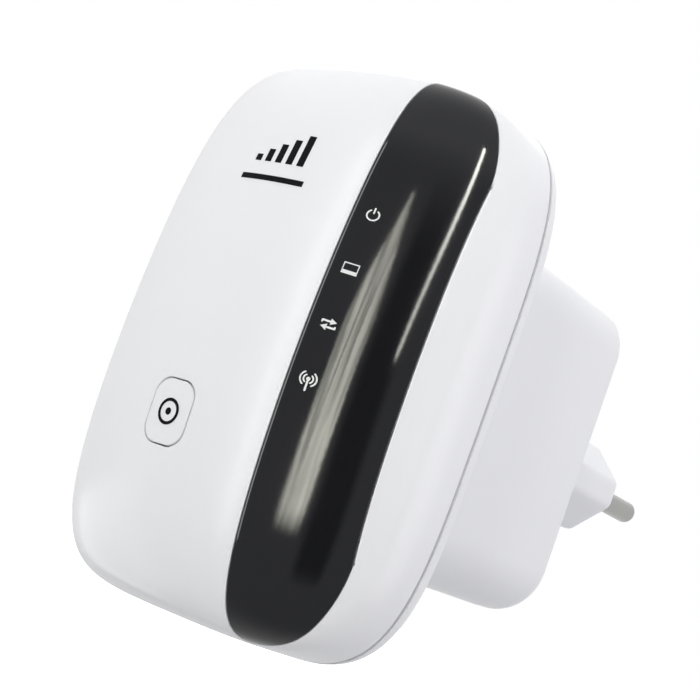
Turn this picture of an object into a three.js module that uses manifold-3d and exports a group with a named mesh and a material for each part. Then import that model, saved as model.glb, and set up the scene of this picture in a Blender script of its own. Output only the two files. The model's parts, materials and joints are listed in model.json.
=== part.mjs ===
// Plug-in wifi range extender: a rounded case that stands off the wall on a plug block.
// Millimetres, +Z up. The front looks along -Y and the plug leaves along +Y.
// The origin is the centre of the plug's end face, where the plug meets the socket's floor.

import * as THREE from 'three';
import { mergeVertices } from 'three/addons/utils/BufferGeometryUtils.js';
import Module from 'manifold-3d';

const wasm = await Module();
wasm.setup();

// ---------------------------------------------------------------- driving sizes
// Case outline, seen from the front: a squared ellipse
const BODY_W = 64;
const BODY_H = 87.6;
const OUTLINE_POWER = 4.4;
const OUTLINE_STEPS = 60;

// Front shell: a dome whose crest lies left of the middle
const FRONT_D = 27.5;
const CREST_X = -5.8;
const FALL_X = 0.0119;
const FALL_Z = 0.00185;
const EDGE_POWER = 7;
const WALL = 2.4;

// Seam between the two shells, and the rear shell's rim
const SEAM = 0.5;
const RIM_D = 4;
const LIP_T = 0.9;
const LIP_REACH = 1.8;

// Plug block on the rear shell
const BLOCK_W = 43.2;
const BLOCK_H = 57.2;
const BLOCK_Z = 1.4;
const BLOCK_REAR = 44.9;
const BLOCK_CORNER = 9;
const BLOCK_FILLET = 4.5;
const BLOCK_DRAFT = 0.034;

// Plug boss, a long octagon, and its two round pins
const BOSS_W = 34.4;
const BOSS_H = 15.8;
const BOSS_L = 14.7;
const BOSS_CUT_X = 6.4;
const BOSS_CUT_Z = 5.7;
const BOSS_SPREAD = 1.0375;
const BOSS_Z = 0.26;
const PIN_R = 2;
const PIN_PITCH = 18.6;
const PIN_L = 18;
const PIN_TAIL_R = 1.3;
const PIN_TAIL_L = 13.5;
const SLEEVE_T = 0.4;
const SLEEVE_L = 8;
const SLEEVE_ROOT = 1.8;

// Glossy indicator window in the front shell
const WINDOW_X0 = 14.2;
const WINDOW_X1 = 28;
const WINDOW_BACK = 10.6;
const WINDOW_ROUND_X = 1.2;
const WINDOW_ROUND_Y = 0.3;
const WINDOW_T = 1;
const LIGHT_X = 17.15;
const LIGHT_Z = 18.76;
const LIGHT_PITCH = 8.49;
const LIGHT_COUNT = 4;
const GUIDE_R = 1.3;
const LED_W = 2.2;
const LED_T = 1.2;

// Pairing button on the front and the switch behind it
const BUTTON_X = -1.8;
const BUTTON_Z = -16.7;
const BUTTON_W = 7.8;
const BUTTON_H = 9.7;
const BUTTON_CORNER = 2.8;
const FLANGE_OVER = 1;
const FLANGE_T = 1;
const STEM_R = 1.6;
const SLEEVE_WALL = 1;
const SLEEVE_D = 5;
const KEY_TRAVEL = 0.6;

// Boards
const BOARD_T = 1.6;
const MAIN_FRONT = -2.4;
const MAIN_INSET = 4.5;
const POWER_W = 34;
const POWER_D = 33;
const POWER_TOP = -6.4;
const CORE = { w: 17, h: 15, d: 6, leg: 3, x: 5, y: 20 };

// Switches
const SWITCH = 6;
const SWITCH_H = 3.6;
const PLUNGER_R = 1.5;
const PLUNGER_OUT = 1.4;
const RESET_Z = 9;
const RESET_TRAVEL = 0.4;
const PINHOLE_R = 1;

// Network socket on the left side
const JACK_W = 16;
const JACK_H = 13.1;
const JACK_L = 21;
const JACK_Z = -14;
const JACK_INSET = 1.8;
const MOUTH_W = 11.8;
const MOUTH_H = 7;
const MOUTH_D = 13.5;
const LATCH_W = 5.6;
const LATCH_D = 2.6;
const CONTACTS = 8;
const CONTACT_PITCH = 1.27;

// Screws and their posts
const POST_R = 3;
const SCREW_R = 1;
const SCREW_HEAD_R = 2.4;
const SCREW_HEAD_T = 1.2;
const SCREW_L = 9;
const SCREW_SPOTS = [['board_screw_upper', -21, 26], ['board_screw_lower', 8, -33]];

// Vent slots in the block's top and bottom
const VENT_COUNT = 5;
const VENT_W = 1.6;
const VENT_L = 16;
const VENT_PITCH = 4.4;

// Clearances
const FIT = 0.3;
const SNUG = 0.1;

// ---------------------------------------------------------------- derived sizes
const HALF_W = BODY_W / 2;
const HALF_H = BODY_H / 2;
const SEAM_Y = -(BLOCK_REAR + BOSS_L);
const FACE_Y = BLOCK_REAR + BOSS_L;
const BACK_IN = RIM_D - (WALL - 0.2);
const MAIN_BACK = MAIN_FRONT + BOARD_T;
const PIN_X = PIN_PITCH / 2;
const SLEEVE_R = PIN_R - SNUG;
const PIN_CORE_R = SLEEVE_R - SLEEVE_T - SNUG;
const POWER_Y0 = RIM_D - 1;
const SEAT = POWER_TOP + FIT;
const FAR = 200;

// ---------------------------------------------------------------- solids and cuts
// A closed three.js geometry as a manifold solid, turned to face out
function solid(geometry) {
  const bare = geometry.clone();
  bare.deleteAttribute('normal');
  bare.deleteAttribute('uv');
  const merged = mergeVertices(bare, 1e-4);
  const points = merged.attributes.position;
  const corners = [];
  let volume = 0;
  const a = new THREE.Vector3(), b = new THREE.Vector3(), c = new THREE.Vector3();
  for (let i = 0; i < merged.index.count; i += 3) {
    const [p, q, r] = [0, 1, 2].map((k) => merged.index.getX(i + k));
    if (p === q || q === r || p === r) continue;
    corners.push([p, q, r]);
    a.fromBufferAttribute(points, p);
    b.fromBufferAttribute(points, q);
    c.fromBufferAttribute(points, r);
    volume += a.dot(b.cross(c));
  }
  const triVerts = new Uint32Array(corners.flatMap(([p, q, r]) => (volume < 0 ? [p, r, q] : [p, q, r])));
  const vertProperties = new Float32Array(points.array);
  return new wasm.Manifold(new wasm.Mesh({ numProp: 3, vertProperties, triVerts }));
}

// A manifold solid back as a three.js geometry
function geometryOf(body) {
  const { vertProperties, triVerts } = body.getMesh();
  const geometry = new THREE.BufferGeometry();
  geometry.setAttribute('position', new THREE.BufferAttribute(new Float32Array(vertProperties), 3));
  geometry.setIndex(new THREE.BufferAttribute(new Uint32Array(triVerts), 1));
  geometry.computeVertexNormals();
  return geometry;
}

const join = (...bodies) => bodies.reduce((sum, body) => sum.add(body));
const cut = (body, ...tools) => tools.reduce((rest, tool) => rest.subtract(tool), body);

// Box between two corners
function box([x0, x1], [y0, y1], [z0, z1]) {
  const geometry = new THREE.BoxGeometry(x1 - x0, y1 - y0, z1 - z0);
  return solid(geometry.translate((x0 + x1) / 2, (y0 + y1) / 2, (z0 + z1) / 2));
}

// Round bar along Y, X or Z between two stations
function rod(axis, radius, [from, to], [u, v], sides = 20) {
  const geometry = new THREE.CylinderGeometry(radius, radius, to - from, sides);
  const middle = (from + to) / 2;
  if (axis === 'x') return solid(geometry.rotateZ(Math.PI / 2).translate(middle, u, v));
  if (axis === 'z') return solid(geometry.rotateX(Math.PI / 2).translate(u, v, middle));
  return solid(geometry.translate(u, middle, v));
}

// Shape in the XZ plane, pushed along Y
function prism(shape, [y0, y1], curveSegments = 5) {
  const geometry = new THREE.ExtrudeGeometry(shape, { depth: y1 - y0, bevelEnabled: false, curveSegments });
  return solid(geometry.rotateX(Math.PI / 2).translate(0, y1, 0));
}

// Rectangle with round corners, centred on (x, z)
function roundedRect(width, height, radius, x = 0, z = 0) {
  const w = width / 2, h = height / 2, r = Math.min(radius, w - 0.05, h - 0.05);
  const shape = new THREE.Shape();
  shape.absarc(x + w - r, z + h - r, r, 0, Math.PI / 2);
  shape.absarc(x - w + r, z + h - r, r, Math.PI / 2, Math.PI);
  shape.absarc(x - w + r, z - h + r, r, Math.PI, 1.5 * Math.PI);
  shape.absarc(x + w - r, z - h + r, r, 1.5 * Math.PI, 2 * Math.PI);
  return shape;
}

// A lathe whose rings are stretched from circles to an outline.
// Each ring is { inset, scale, y }; a ring with no inset is a point on the axis.
// y is a depth, or a function of x and z that gives it.
function loft(rings, outline, steps, centre = [0, 0]) {
  const profile = rings.map(({ inset }, i) => new THREE.Vector2(inset === undefined ? 0 : 1, i));
  const geometry = new THREE.LatheGeometry(profile, steps);
  const points = geometry.attributes.position;
  for (let step = 0; step <= steps; step += 1) {
    rings.forEach(({ inset, scale = 1, y }, i) => {
      const [u, v] = inset === undefined ? [0, 0] : outline(step % steps, inset);
      const depth = typeof y === 'function' ? y(u * scale, v * scale) : y;
      points.setXYZ(step * rings.length + i, centre[0] + u * scale, depth, centre[1] + v * scale);
    });
  }
  return solid(geometry);
}

// Point of the case outline, pulled in by inset
function caseOutline(step, inset) {
  const angle = (2 * Math.PI * step) / OUTLINE_STEPS;
  const a = HALF_W - inset, b = HALF_H - inset;
  const [s, c] = [Math.sin(angle), Math.cos(angle)];
  const reach = (Math.abs(s / a) ** OUTLINE_POWER + Math.abs(c / b) ** OUTLINE_POWER) ** (-1 / OUTLINE_POWER);
  return [s * reach, c * reach];
}

// Point of a rectangle with round corners; each corner takes arc + 1 steps
function cornerOutline(halfW, halfH, radius, arc) {
  return (step, inset) => {
    const corner = Math.floor(step / (arc + 1));
    const angle = (Math.PI / 2) * (corner + (step % (arc + 1)) / arc);
    const r = Math.max(radius - inset, 0.4);
    const sideX = [1, 1, -1, -1][corner], sideZ = [1, -1, -1, 1][corner];
    return [
      sideX * (halfW - inset - r) + r * Math.sin(angle),
      sideZ * (halfH - inset - r) + r * Math.cos(angle),
    ];
  };
}

// ---------------------------------------------------------------- the domed front
// Depth of the crest line below each point of the front
const crestDepth = (x, z) => FRONT_D - FALL_X * (x - CREST_X) ** 2 - FALL_Z * z ** 2;

const DOME_RINGS = [0.3, 0.55, 0.72, 0.82, 0.88, 0.92, 0.95, 0.975, 0.992, 0.998];

// The space in front of the seam, pulled in by inset all round, closed at depth back
function dome(inset, back) {
  const front = (scale) => (x, z) => (
    -(crestDepth(x, z) - inset) * (1 - scale ** EDGE_POWER) ** (1 / EDGE_POWER)
  );
  return loft([
    { y: front(0) },
    ...DOME_RINGS.map((scale) => ({ inset, scale, y: front(scale) })),
    { inset, y: Math.min(back, -SEAM / 2) },
    ...(back > 0 ? [{ inset, y: back }] : []),
    { y: back },
  ], caseOutline, OUTLINE_STEPS);
}

// Band across the front that holds the window: straight sides, and ends at one depth
function windowBand(gap) {
  const [x0, x1, y1] = [WINDOW_X0 + gap, WINDOW_X1 - gap, -WINDOW_BACK - gap];
  const shape = new THREE.Shape();
  shape.moveTo(x0, -FAR);
  shape.lineTo(x1, -FAR);
  shape.absellipse(x1 - WINDOW_ROUND_X, y1 - WINDOW_ROUND_Y, WINDOW_ROUND_X, WINDOW_ROUND_Y, 0, Math.PI / 2);
  shape.lineTo(x0, y1);
  const geometry = new THREE.ExtrudeGeometry(shape, { depth: 2 * FAR, bevelEnabled: false, curveSegments: 8 });
  return solid(geometry.translate(0, 0, -FAR));
}

const lightSpots = Array.from({ length: LIGHT_COUNT }, (_, i) => LIGHT_Z - i * LIGHT_PITCH);

// Depth of the front's inner face at a point of the front
function innerFace(x, z) {
  const [u, v] = [Math.abs(x / (HALF_W - WALL)), Math.abs(z / (HALF_H - WALL))];
  const reach = u ** OUTLINE_POWER + v ** OUTLINE_POWER;
  return -(crestDepth(x, z) - WALL) * (1 - reach ** (EDGE_POWER / OUTLINE_POWER)) ** (1 / EDGE_POWER);
}

const caseFront = dome(0, -SEAM / 2);
const cavity = dome(WALL, BACK_IN);

// Button stack: the flange clears the inner face at its shallowest corner, and the
// stem reaches from the flange to the switch on the main board
const FLANGE_W = BUTTON_W + 2 * FLANGE_OVER;
const FLANGE_H = BUTTON_H + 2 * FLANGE_OVER;
const CAP_BACK = FIT + Math.max(...[-1, 1].flatMap((i) => [-1, 1].map((j) => (
  innerFace(BUTTON_X + (i * FLANGE_W) / 2, BUTTON_Z + (j * FLANGE_H) / 2)
))));
const FLANGE_BACK = CAP_BACK + FLANGE_T;
const SWITCH_FACE = MAIN_FRONT - FIT - SWITCH_H;
const PLUNGER_FACE = SWITCH_FACE - PLUNGER_OUT;

// Reset switch lies on its side, and its plunger lines up with the pinhole
const RESET_Y = MAIN_FRONT - FIT - SWITCH / 2;

// Front face of the lights on the main board
const LED_FACE = MAIN_FRONT - FIT - LED_T;

// Socket box, its front face JACK_INSET inside the case's left side
const JACK_X0 = -HALF_W + JACK_INSET;
const JACK_Y1 = MAIN_FRONT - FIT;
const JACK_Y0 = JACK_Y1 - JACK_H;

function frontShell() {
  const shell = cut(caseFront, cavity);
  const recess = cut(windowBand(0), dome(WINDOW_T + FIT, 10));
  const lights = lightSpots.map((z) => rod('y', GUIDE_R + FIT, [-FRONT_D, -WALL], [LIGHT_X, z], 16));
  const sleeveOver = 2 * (FIT + SLEEVE_WALL);
  const sleeve = cut(
    prism(
      roundedRect(FLANGE_W + sleeveOver, FLANGE_H + sleeveOver, BUTTON_CORNER, BUTTON_X, BUTTON_Z),
      [-FRONT_D, FLANGE_BACK + SLEEVE_D],
    ).intersect(dome(WALL / 2, 10)),
    prism(
      roundedRect(FLANGE_W + 2 * FIT, FLANGE_H + 2 * FIT, BUTTON_CORNER, BUTTON_X, BUTTON_Z),
      [CAP_BACK - FIT, 0],
    ),
  );
  const posts = SCREW_SPOTS.map(([, x, z]) => (
    rod('y', POST_R, [-FRONT_D, MAIN_FRONT - FIT], [x, z]).intersect(dome(WALL / 2, 10))
  ));
  const pilots = SCREW_SPOTS.map(([, x, z]) => (
    rod('y', SCREW_R + SNUG, [MAIN_BACK - SCREW_L, 0], [x, z], 12)
  ));
  const buttonHole = prism(
    roundedRect(BUTTON_W + 2 * FIT, BUTTON_H + 2 * FIT, BUTTON_CORNER + FIT, BUTTON_X, BUTTON_Z),
    [-FAR, FLANGE_BACK],
  );
  const socketHole = box(
    [-FAR, JACK_X0 + JACK_L / 2],
    [JACK_Y0 - FIT, JACK_Y1 + FIT],
    [JACK_Z - JACK_W / 2 - FIT, JACK_Z + JACK_W / 2 + FIT],
  );
  const pinhole = rod('x', PINHOLE_R, [-FAR, -HALF_W / 2], [RESET_Y, RESET_Z], 16);
  return cut(join(shell, sleeve, ...posts), recess, ...lights, buttonHole, ...pilots, socketHole, pinhole);
}

function indicatorWindow() {
  return cut(caseFront, dome(WINDOW_T, 10)).intersect(windowBand(FIT));
}

function lightGuide() {
  const reach = dome(WINDOW_T + FIT, 10);
  const posts = lightSpots.map((z) => (
    rod('y', GUIDE_R, [-FRONT_D, LED_FACE - FIT], [LIGHT_X, z], 16).intersect(reach)
  ));
  const bar = box(
    [LIGHT_X - GUIDE_R * 0.7, LIGHT_X + GUIDE_R * 0.7],
    [LED_FACE - 7, LED_FACE - 5.4],
    [lightSpots[LIGHT_COUNT - 1], lightSpots[0]],
  );
  return join(...posts, bar);
}

function pairingButton() {
  const cap = prism(
    roundedRect(BUTTON_W, BUTTON_H, BUTTON_CORNER, BUTTON_X, BUTTON_Z),
    [-FAR, CAP_BACK + SNUG],
  ).intersect(caseFront);
  const flange = prism(
    roundedRect(FLANGE_W, FLANGE_H, BUTTON_CORNER, BUTTON_X, BUTTON_Z),
    [CAP_BACK, FLANGE_BACK],
  );
  const stem = rod('y', STEM_R, [FLANGE_BACK - SNUG, PLUNGER_FACE - FIT], [BUTTON_X, BUTTON_Z]);
  return join(cap, flange, stem);
}

// Push switch: a square body with a well that its plunger slides in
function pushSwitch(travel) {
  const body = box([-SWITCH / 2, SWITCH / 2], [-SWITCH_H / 2, SWITCH_H / 2], [-SWITCH / 2, SWITCH / 2]);
  const well = rod('y', PLUNGER_R + SNUG, [-FAR, -SWITCH_H / 2 + 1 + travel + FIT], [0, 0]);
  return cut(body, well);
}

const plunger = () => rod('y', PLUNGER_R, [-SWITCH_H / 2 - PLUNGER_OUT, -SWITCH_H / 2 + 1], [0, 0]);

function ethernetJack() {
  const x1 = JACK_X0 + JACK_L;
  const mouthTop = JACK_Y0 + 3.2;
  const body = box([JACK_X0, x1], [JACK_Y0, JACK_Y1], [JACK_Z - JACK_W / 2, JACK_Z + JACK_W / 2]);
  const mouth = box(
    [JACK_X0 - 1, JACK_X0 + MOUTH_D],
    [mouthTop, mouthTop + MOUTH_H],
    [JACK_Z - MOUTH_W / 2, JACK_Z + MOUTH_W / 2],
  );
  const latch = box(
    [JACK_X0 - 1, JACK_X0 + MOUTH_D - 4],
    [mouthTop - LATCH_D, mouthTop + 0.5],
    [JACK_Z - LATCH_W / 2, JACK_Z + LATCH_W / 2],
  );
  const contactBay = box(
    [JACK_X0 + 2, JACK_X0 + MOUTH_D],
    [mouthTop + MOUTH_H - 0.5, mouthTop + MOUTH_H + 1.9],
    [JACK_Z - MOUTH_W / 2 + 0.4, JACK_Z + MOUTH_W / 2 - 0.4],
  );
  return cut(body, mouth, latch, contactBay);
}

// Eight contact fingers on one bar, lying in the bay beside the socket's mouth
function jackContacts() {
  const bay = JACK_Y0 + 3.2 + MOUTH_H;
  const half = ((CONTACTS - 1) * CONTACT_PITCH) / 2;
  const bar = box(
    [JACK_X0 + MOUTH_D - 2, JACK_X0 + MOUTH_D - FIT],
    [bay + 0.8, bay + 1.6],
    [JACK_Z - half - 0.4, JACK_Z + half + 0.4],
  );
  const fingers = Array.from({ length: CONTACTS }, (_, i) => {
    const z = JACK_Z - half + i * CONTACT_PITCH;
    return box([JACK_X0 + 3.2, JACK_X0 + MOUTH_D - 1.5], [bay + 0.2, bay + 0.95], [z - 0.25, z + 0.25]);
  });
  return join(bar, ...fingers);
}

// ---------------------------------------------------------------- rear shell and plug
const RIM_ROLL = [[0, SEAM / 2], [0.1, 1.2], [0.45, 2.4], [1.1, 3.3], [2, 3.8], [3.2, RIM_D]];

const blockShape = cornerOutline(BLOCK_W / 2, BLOCK_H / 2, BLOCK_CORNER, 7);
const BLOCK_STEPS = 32;

// The plug block, pulled in by inset, from depth y0 to its rear face
function block(inset, y0, y1, fillet) {
  const taper = (y) => 1 - BLOCK_DRAFT * (y / BLOCK_REAR);
  const turns = [0, 18, 36, 54, 72, 90].map((degrees) => (degrees * Math.PI) / 180);
  return loft([
    { y: y0 },
    { inset, scale: taper(y0), y: y0 },
    ...turns.map((turn) => ({
      inset: inset + fillet * (1 - Math.cos(turn)),
      scale: taper(y1),
      y: y1 - fillet * (1 - Math.sin(turn)),
    })),
    { y: y1 },
  ], blockShape, BLOCK_STEPS, [0, BLOCK_Z]);
}

// The plug boss: a long octagon that tapers a little to its end face
function boss(y0) {
  const w = BOSS_W / 2, h = BOSS_H / 2;
  const corners = [
    [w - BOSS_CUT_X, h], [w, h - BOSS_CUT_Z], [w, BOSS_CUT_Z - h], [w - BOSS_CUT_X, -h],
    [BOSS_CUT_X - w, -h], [-w, BOSS_CUT_Z - h], [-w, h - BOSS_CUT_Z], [BOSS_CUT_X - w, h],
  ];
  return loft([
    { y: y0 },
    { inset: 0, scale: BOSS_SPREAD, y: y0 },
    { inset: 0, scale: BOSS_SPREAD, y: BLOCK_REAR },
    { inset: 0, scale: 1, y: FACE_Y },
    { y: FACE_Y },
  ], (step) => corners[step], corners.length, [0, BOSS_Z]);
}

function rearShell() {
  const rim = loft([
    { y: SEAM / 2 },
    ...RIM_ROLL.map(([inset, y]) => ({ inset, y })),
    { y: RIM_D },
  ], caseOutline, OUTLINE_STEPS);
  const lipOut = WALL + FIT;
  const ring = (inset, y0, y1) => (
    loft([{ y: y0 }, { inset, y: y0 }, { inset, y: y1 }, { y: y1 }], caseOutline, OUTLINE_STEPS)
  );
  const lip = ring(lipOut, -LIP_REACH, RIM_D / 2);
  const hollow = ring(lipOut + LIP_T, -LIP_REACH - 1, BACK_IN);
  const blockHollow = block(WALL, BACK_IN - 1, BLOCK_REAR - WALL, BLOCK_FILLET - WALL);
  const railX = POWER_W / 2 - 1.6;
  const rails = [-1, 1].flatMap((side) => [1, -1].map((level) => {
    const xs = [side * railX, side * (BLOCK_W / 2 - WALL / 2)].sort((p, q) => p - q);
    const z = level > 0 ? POWER_TOP + FIT : POWER_TOP - BOARD_T - FIT - 1.2;
    return box(xs, [8, 34], [z, z + 1.2]).intersect(block(WALL / 2, 0, BLOCK_REAR, BLOCK_FILLET));
  }));
  const pinHoles = [-PIN_X, PIN_X].map((x) => (
    rod('y', PIN_R + SNUG, [BLOCK_REAR - WALL - 5, FACE_Y + 1], [x, BOSS_Z])
  ));
  const slots = Array.from({ length: VENT_COUNT }, (_, i) => {
    const y = (RIM_D + BLOCK_REAR) / 2 + (i - (VENT_COUNT - 1) / 2) * VENT_PITCH;
    return box([-VENT_L / 2, VENT_L / 2], [y - VENT_W / 2, y + VENT_W / 2], [-FAR, FAR]);
  });
  const core = BLOCK_H / 2 - 2 * WALL;
  const ventZone = box([-FAR, FAR], [RIM_D, BLOCK_REAR], [BLOCK_Z - core, BLOCK_Z + core]);
  const vents = slots.map((slot) => cut(slot, ventZone));
  const shell = cut(join(rim, lip, block(0, RIM_D / 2, BLOCK_REAR, BLOCK_FILLET)), hollow, blockHollow);
  return cut(join(shell, boss(BLOCK_REAR - WALL), ...rails), ...pinHoles, ...vents);
}

// Plug pin: tail inside the block, body in the boss, waist under the sleeve, bare tip
function pin() {
  const end = FACE_Y + PIN_L;
  const waist = FACE_Y - SLEEVE_ROOT;
  const profile = [
    [0, BLOCK_REAR - PIN_TAIL_L], [PIN_TAIL_R, BLOCK_REAR - PIN_TAIL_L],
    [PIN_TAIL_R, BLOCK_REAR - WALL - 1], [PIN_R, BLOCK_REAR - WALL - 1],
    [PIN_R, waist - SNUG], [PIN_CORE_R, waist - SNUG],
    [PIN_CORE_R, FACE_Y + SLEEVE_L + SNUG], [PIN_R, FACE_Y + SLEEVE_L + SNUG],
    [PIN_R, end - 1.4], [PIN_R * 0.9, end - 0.7], [PIN_R * 0.66, end - 0.2], [0, end],
  ];
  return solid(new THREE.LatheGeometry(profile.map(([r, y]) => new THREE.Vector2(r, y)), 20));
}

function pinSleeve() {
  const [y0, y1, inner] = [FACE_Y - SLEEVE_ROOT, FACE_Y + SLEEVE_L, PIN_CORE_R + SNUG];
  const profile = [[inner, y0], [SLEEVE_R, y0], [SLEEVE_R, y1], [inner, y1], [inner, y0]];
  return solid(new THREE.LatheGeometry(profile.map(([r, y]) => new THREE.Vector2(r, y)), 20));
}

// ---------------------------------------------------------------- boards and their parts
function mainBoard() {
  const outline = new THREE.Shape(Array.from({ length: OUTLINE_STEPS }, (_, step) => (
    new THREE.Vector2(...caseOutline(step, MAIN_INSET))
  )));
  const holes = SCREW_SPOTS.map(([, x, z]) => rod('y', SCREW_R + FIT, [-FAR, FAR], [x, z], 12));
  return cut(prism(outline, [MAIN_FRONT, MAIN_BACK]), ...holes);
}

function powerBoard() {
  return box([-POWER_W / 2, POWER_W / 2], [POWER_Y0, POWER_Y0 + POWER_D], [POWER_TOP - BOARD_T, POWER_TOP]);
}

// A part that sits on the front of the main board
const onMain = (w, h, t, x, z) => box(
  [x - w / 2, x + w / 2],
  [MAIN_FRONT - FIT - t, MAIN_FRONT - FIT],
  [z - h / 2, z + h / 2],
);

// A part that stands on the power board
const onPower = (w, d, h, x, y) => box(
  [x - w / 2, x + w / 2],
  [y - d / 2, y + d / 2],
  [POWER_TOP + FIT, POWER_TOP + FIT + h],
);

// Transformer core: a frame with a middle leg
function transformerCore() {
  const { w, h, d, leg, x, y } = CORE;
  const frame = box([x - w / 2, x + w / 2], [y - d / 2, y + d / 2], [SEAT, SEAT + h]);
  const windows = [-1, 1].map((side) => box(
    side < 0 ? [x - w / 2 + leg, x - leg / 2] : [x + leg / 2, x + w / 2 - leg],
    [-FAR, FAR],
    [SEAT + leg, SEAT + h - leg],
  ));
  return cut(frame, ...windows);
}

// Winding: a coil around the middle leg, through both windows
function transformerCoil() {
  const { w, h, d, leg, x, y } = CORE;
  const reach = w / 2 - leg - FIT;
  const heights = [SEAT + leg + FIT, SEAT + h - leg - FIT];
  const outer = box([x - reach, x + reach], [y - d / 2 - 2.4, y + d / 2 + 2.4], heights);
  const inner = box([x - leg / 2 - FIT, x + leg / 2 + FIT], [y - d / 2 - FIT, y + d / 2 + FIT], [-FAR, FAR]);
  return cut(outer, inner);
}

// Can-shaped capacitor standing on the power board
function capacitor(radius, height, x, y) {
  const groove = 0.4;
  const profile = [
    [0, 0], [radius, 0], [radius, height * 0.1], [radius - groove, height * 0.14],
    [radius, height * 0.18], [radius, height - 0.5], [radius - 0.5, height], [0, height],
  ];
  const geometry = new THREE.LatheGeometry(profile.map(([r, z]) => new THREE.Vector2(r, z)), 20);
  return solid(geometry.rotateX(Math.PI / 2).translate(x, y, SEAT));
}

// Upright blade on the power board with a hole for the pin's tail
function contactBlade(x) {
  const y = BLOCK_REAR - PIN_TAIL_L + 2.5;
  const blade = box([x - 2.5, x + 2.5], [y, y + 0.8], [SEAT, BOSS_Z + 4]);
  return cut(blade, rod('y', PIN_TAIL_R + SNUG, [y - 1, y + 2], [x, BOSS_Z]));
}

// Screw with a pan head behind the main board
function screw(x, z) {
  const seat = MAIN_BACK + SNUG;
  return join(
    rod('y', SCREW_HEAD_R, [seat, seat + SCREW_HEAD_T], [x, z], 16),
    rod('y', SCREW_R, [MAIN_BACK - SCREW_L + 1, seat + 0.2], [x, z], 12),
  );
}

// Stamped antenna standing on edge: a long arm on two feet
function antenna(x, z) {
  const foot = MAIN_FRONT - FIT, top = foot - 7;
  const arm = box([x - 10, x + 10], [top, top + 1.6], [z - 0.3, z + 0.3]);
  const feet = [-9, -3].map((at) => box([x + at - 0.8, x + at + 0.8], [top + 1, foot], [z - 0.3, z + 0.3]));
  const turn = box([x + 8.4, x + 10], [top + 1, top + 4.5], [z - 0.3, z + 0.3]);
  return join(arm, ...feet, turn);
}

// Shield can: a thin cover with open underside
function shieldCan(w, h, t, x, z) {
  const wall = 0.5;
  const inside = box(
    [x - w / 2 + wall, x + w / 2 - wall],
    [MAIN_FRONT - FIT - t + wall, 0],
    [z - h / 2 + wall, z + h / 2 - wall],
  );
  return cut(onMain(w, h, t, x, z), inside);
}

// Link between the boards: a plastic block with four pins that reach the main board
function boardLink() {
  const body = onPower(11, 4, 2.6, 0, POWER_Y0 + 2.4);
  const pins = [-1.5, -0.5, 0.5, 1.5].map((i) => {
    const x = i * 2.54;
    return box([x - 0.35, x + 0.35], [MAIN_BACK + FIT, POWER_Y0 + 1], [SEAT + 1, SEAT + 1.7]);
  });
  return join(body, ...pins);
}

// ---------------------------------------------------------------- assembly
const FINISH = {
  case: { color: 0xeceef2, roughness: 0.32, metalness: 0 },
  window: { color: 0x17181a, roughness: 0.08, metalness: 0 },
  clear: { color: 0xf4f6f6, roughness: 0.15, metalness: 0 },
  pin: { color: 0x9a9a98, roughness: 0.25, metalness: 1 },
  sleeve: { color: 0x202124, roughness: 0.5, metalness: 0 },
  board: { color: 0x1f5b3a, roughness: 0.55, metalness: 0 },
  chip: { color: 0x1b1c1e, roughness: 0.6, metalness: 0 },
  tin: { color: 0xb9bbbd, roughness: 0.35, metalness: 1 },
  gold: { color: 0xc9a24a, roughness: 0.3, metalness: 1 },
  ferrite: { color: 0x35363a, roughness: 0.7, metalness: 0 },
  tape: { color: 0xd9b52c, roughness: 0.45, metalness: 0 },
  film: { color: 0x25324f, roughness: 0.35, metalness: 0 },
  led: { color: 0xe8ecd8, roughness: 0.3, metalness: 0 },
};

// Everything below the group is placed from the seam plane, with z from the outline's centre
const extender = new THREE.Group();
extender.position.set(0, SEAM_Y, -BOSS_Z);

function place(name, body, finish, parent = extender) {
  const mesh = new THREE.Mesh(geometryOf(body), new THREE.MeshStandardMaterial(FINISH[finish]));
  mesh.name = name;
  parent.add(mesh);
  return mesh;
}

place('front_shell', frontShell(), 'case');
place('rear_shell', rearShell(), 'case');
place('indicator_window', indicatorWindow(), 'window');
place('light_guide', lightGuide(), 'clear');
place('pairing_button', pairingButton(), 'case');

// Pairing switch, pressed along +Y
const pairing = new THREE.Group();
pairing.position.set(BUTTON_X, SWITCH_FACE + SWITCH_H / 2, BUTTON_Z);
extender.add(pairing);
place('pairing_switch', pushSwitch(KEY_TRAVEL), 'chip', pairing);
place('pairing_plunger', plunger(), 'chip', pairing);

// Reset switch, turned to face the pinhole in the left side
const reset = new THREE.Group();
reset.position.set(-HALF_W + WALL + 4 + SWITCH_H / 2, RESET_Y, RESET_Z);
reset.rotation.z = -Math.PI / 2;
extender.add(reset);
place('reset_switch', pushSwitch(RESET_TRAVEL), 'chip', reset);
place('reset_plunger', plunger(), 'sleeve', reset);

place('ethernet_jack', ethernetJack(), 'tin');
place('jack_contacts', jackContacts(), 'gold');

place('main_board', mainBoard(), 'board');
lightSpots.forEach((z, i) => place(`led_${i + 1}`, onMain(LED_W, LED_W, LED_T, LIGHT_X, z), 'led'));
place('processor', onMain(11, 11, 1.4, 3.5, 1), 'chip');
place('radio_shield', shieldCan(17, 14, 2.8, 1, 20), 'tin');
place('flash_chip', onMain(6, 5, 1.7, -13, 18), 'chip');
place('crystal', onMain(5, 3.2, 1.2, 3.5, 9.8), 'tin');
place('network_transformer', onMain(12, 7, 2.4, -11, 0.5), 'chip');
place('antenna_upper', antenna(-4, 37), 'tin');
place('antenna_lower', antenna(-8, -37.5), 'tin');
SCREW_SPOTS.forEach(([name, x, z]) => place(name, screw(x, z), 'tin'));

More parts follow.
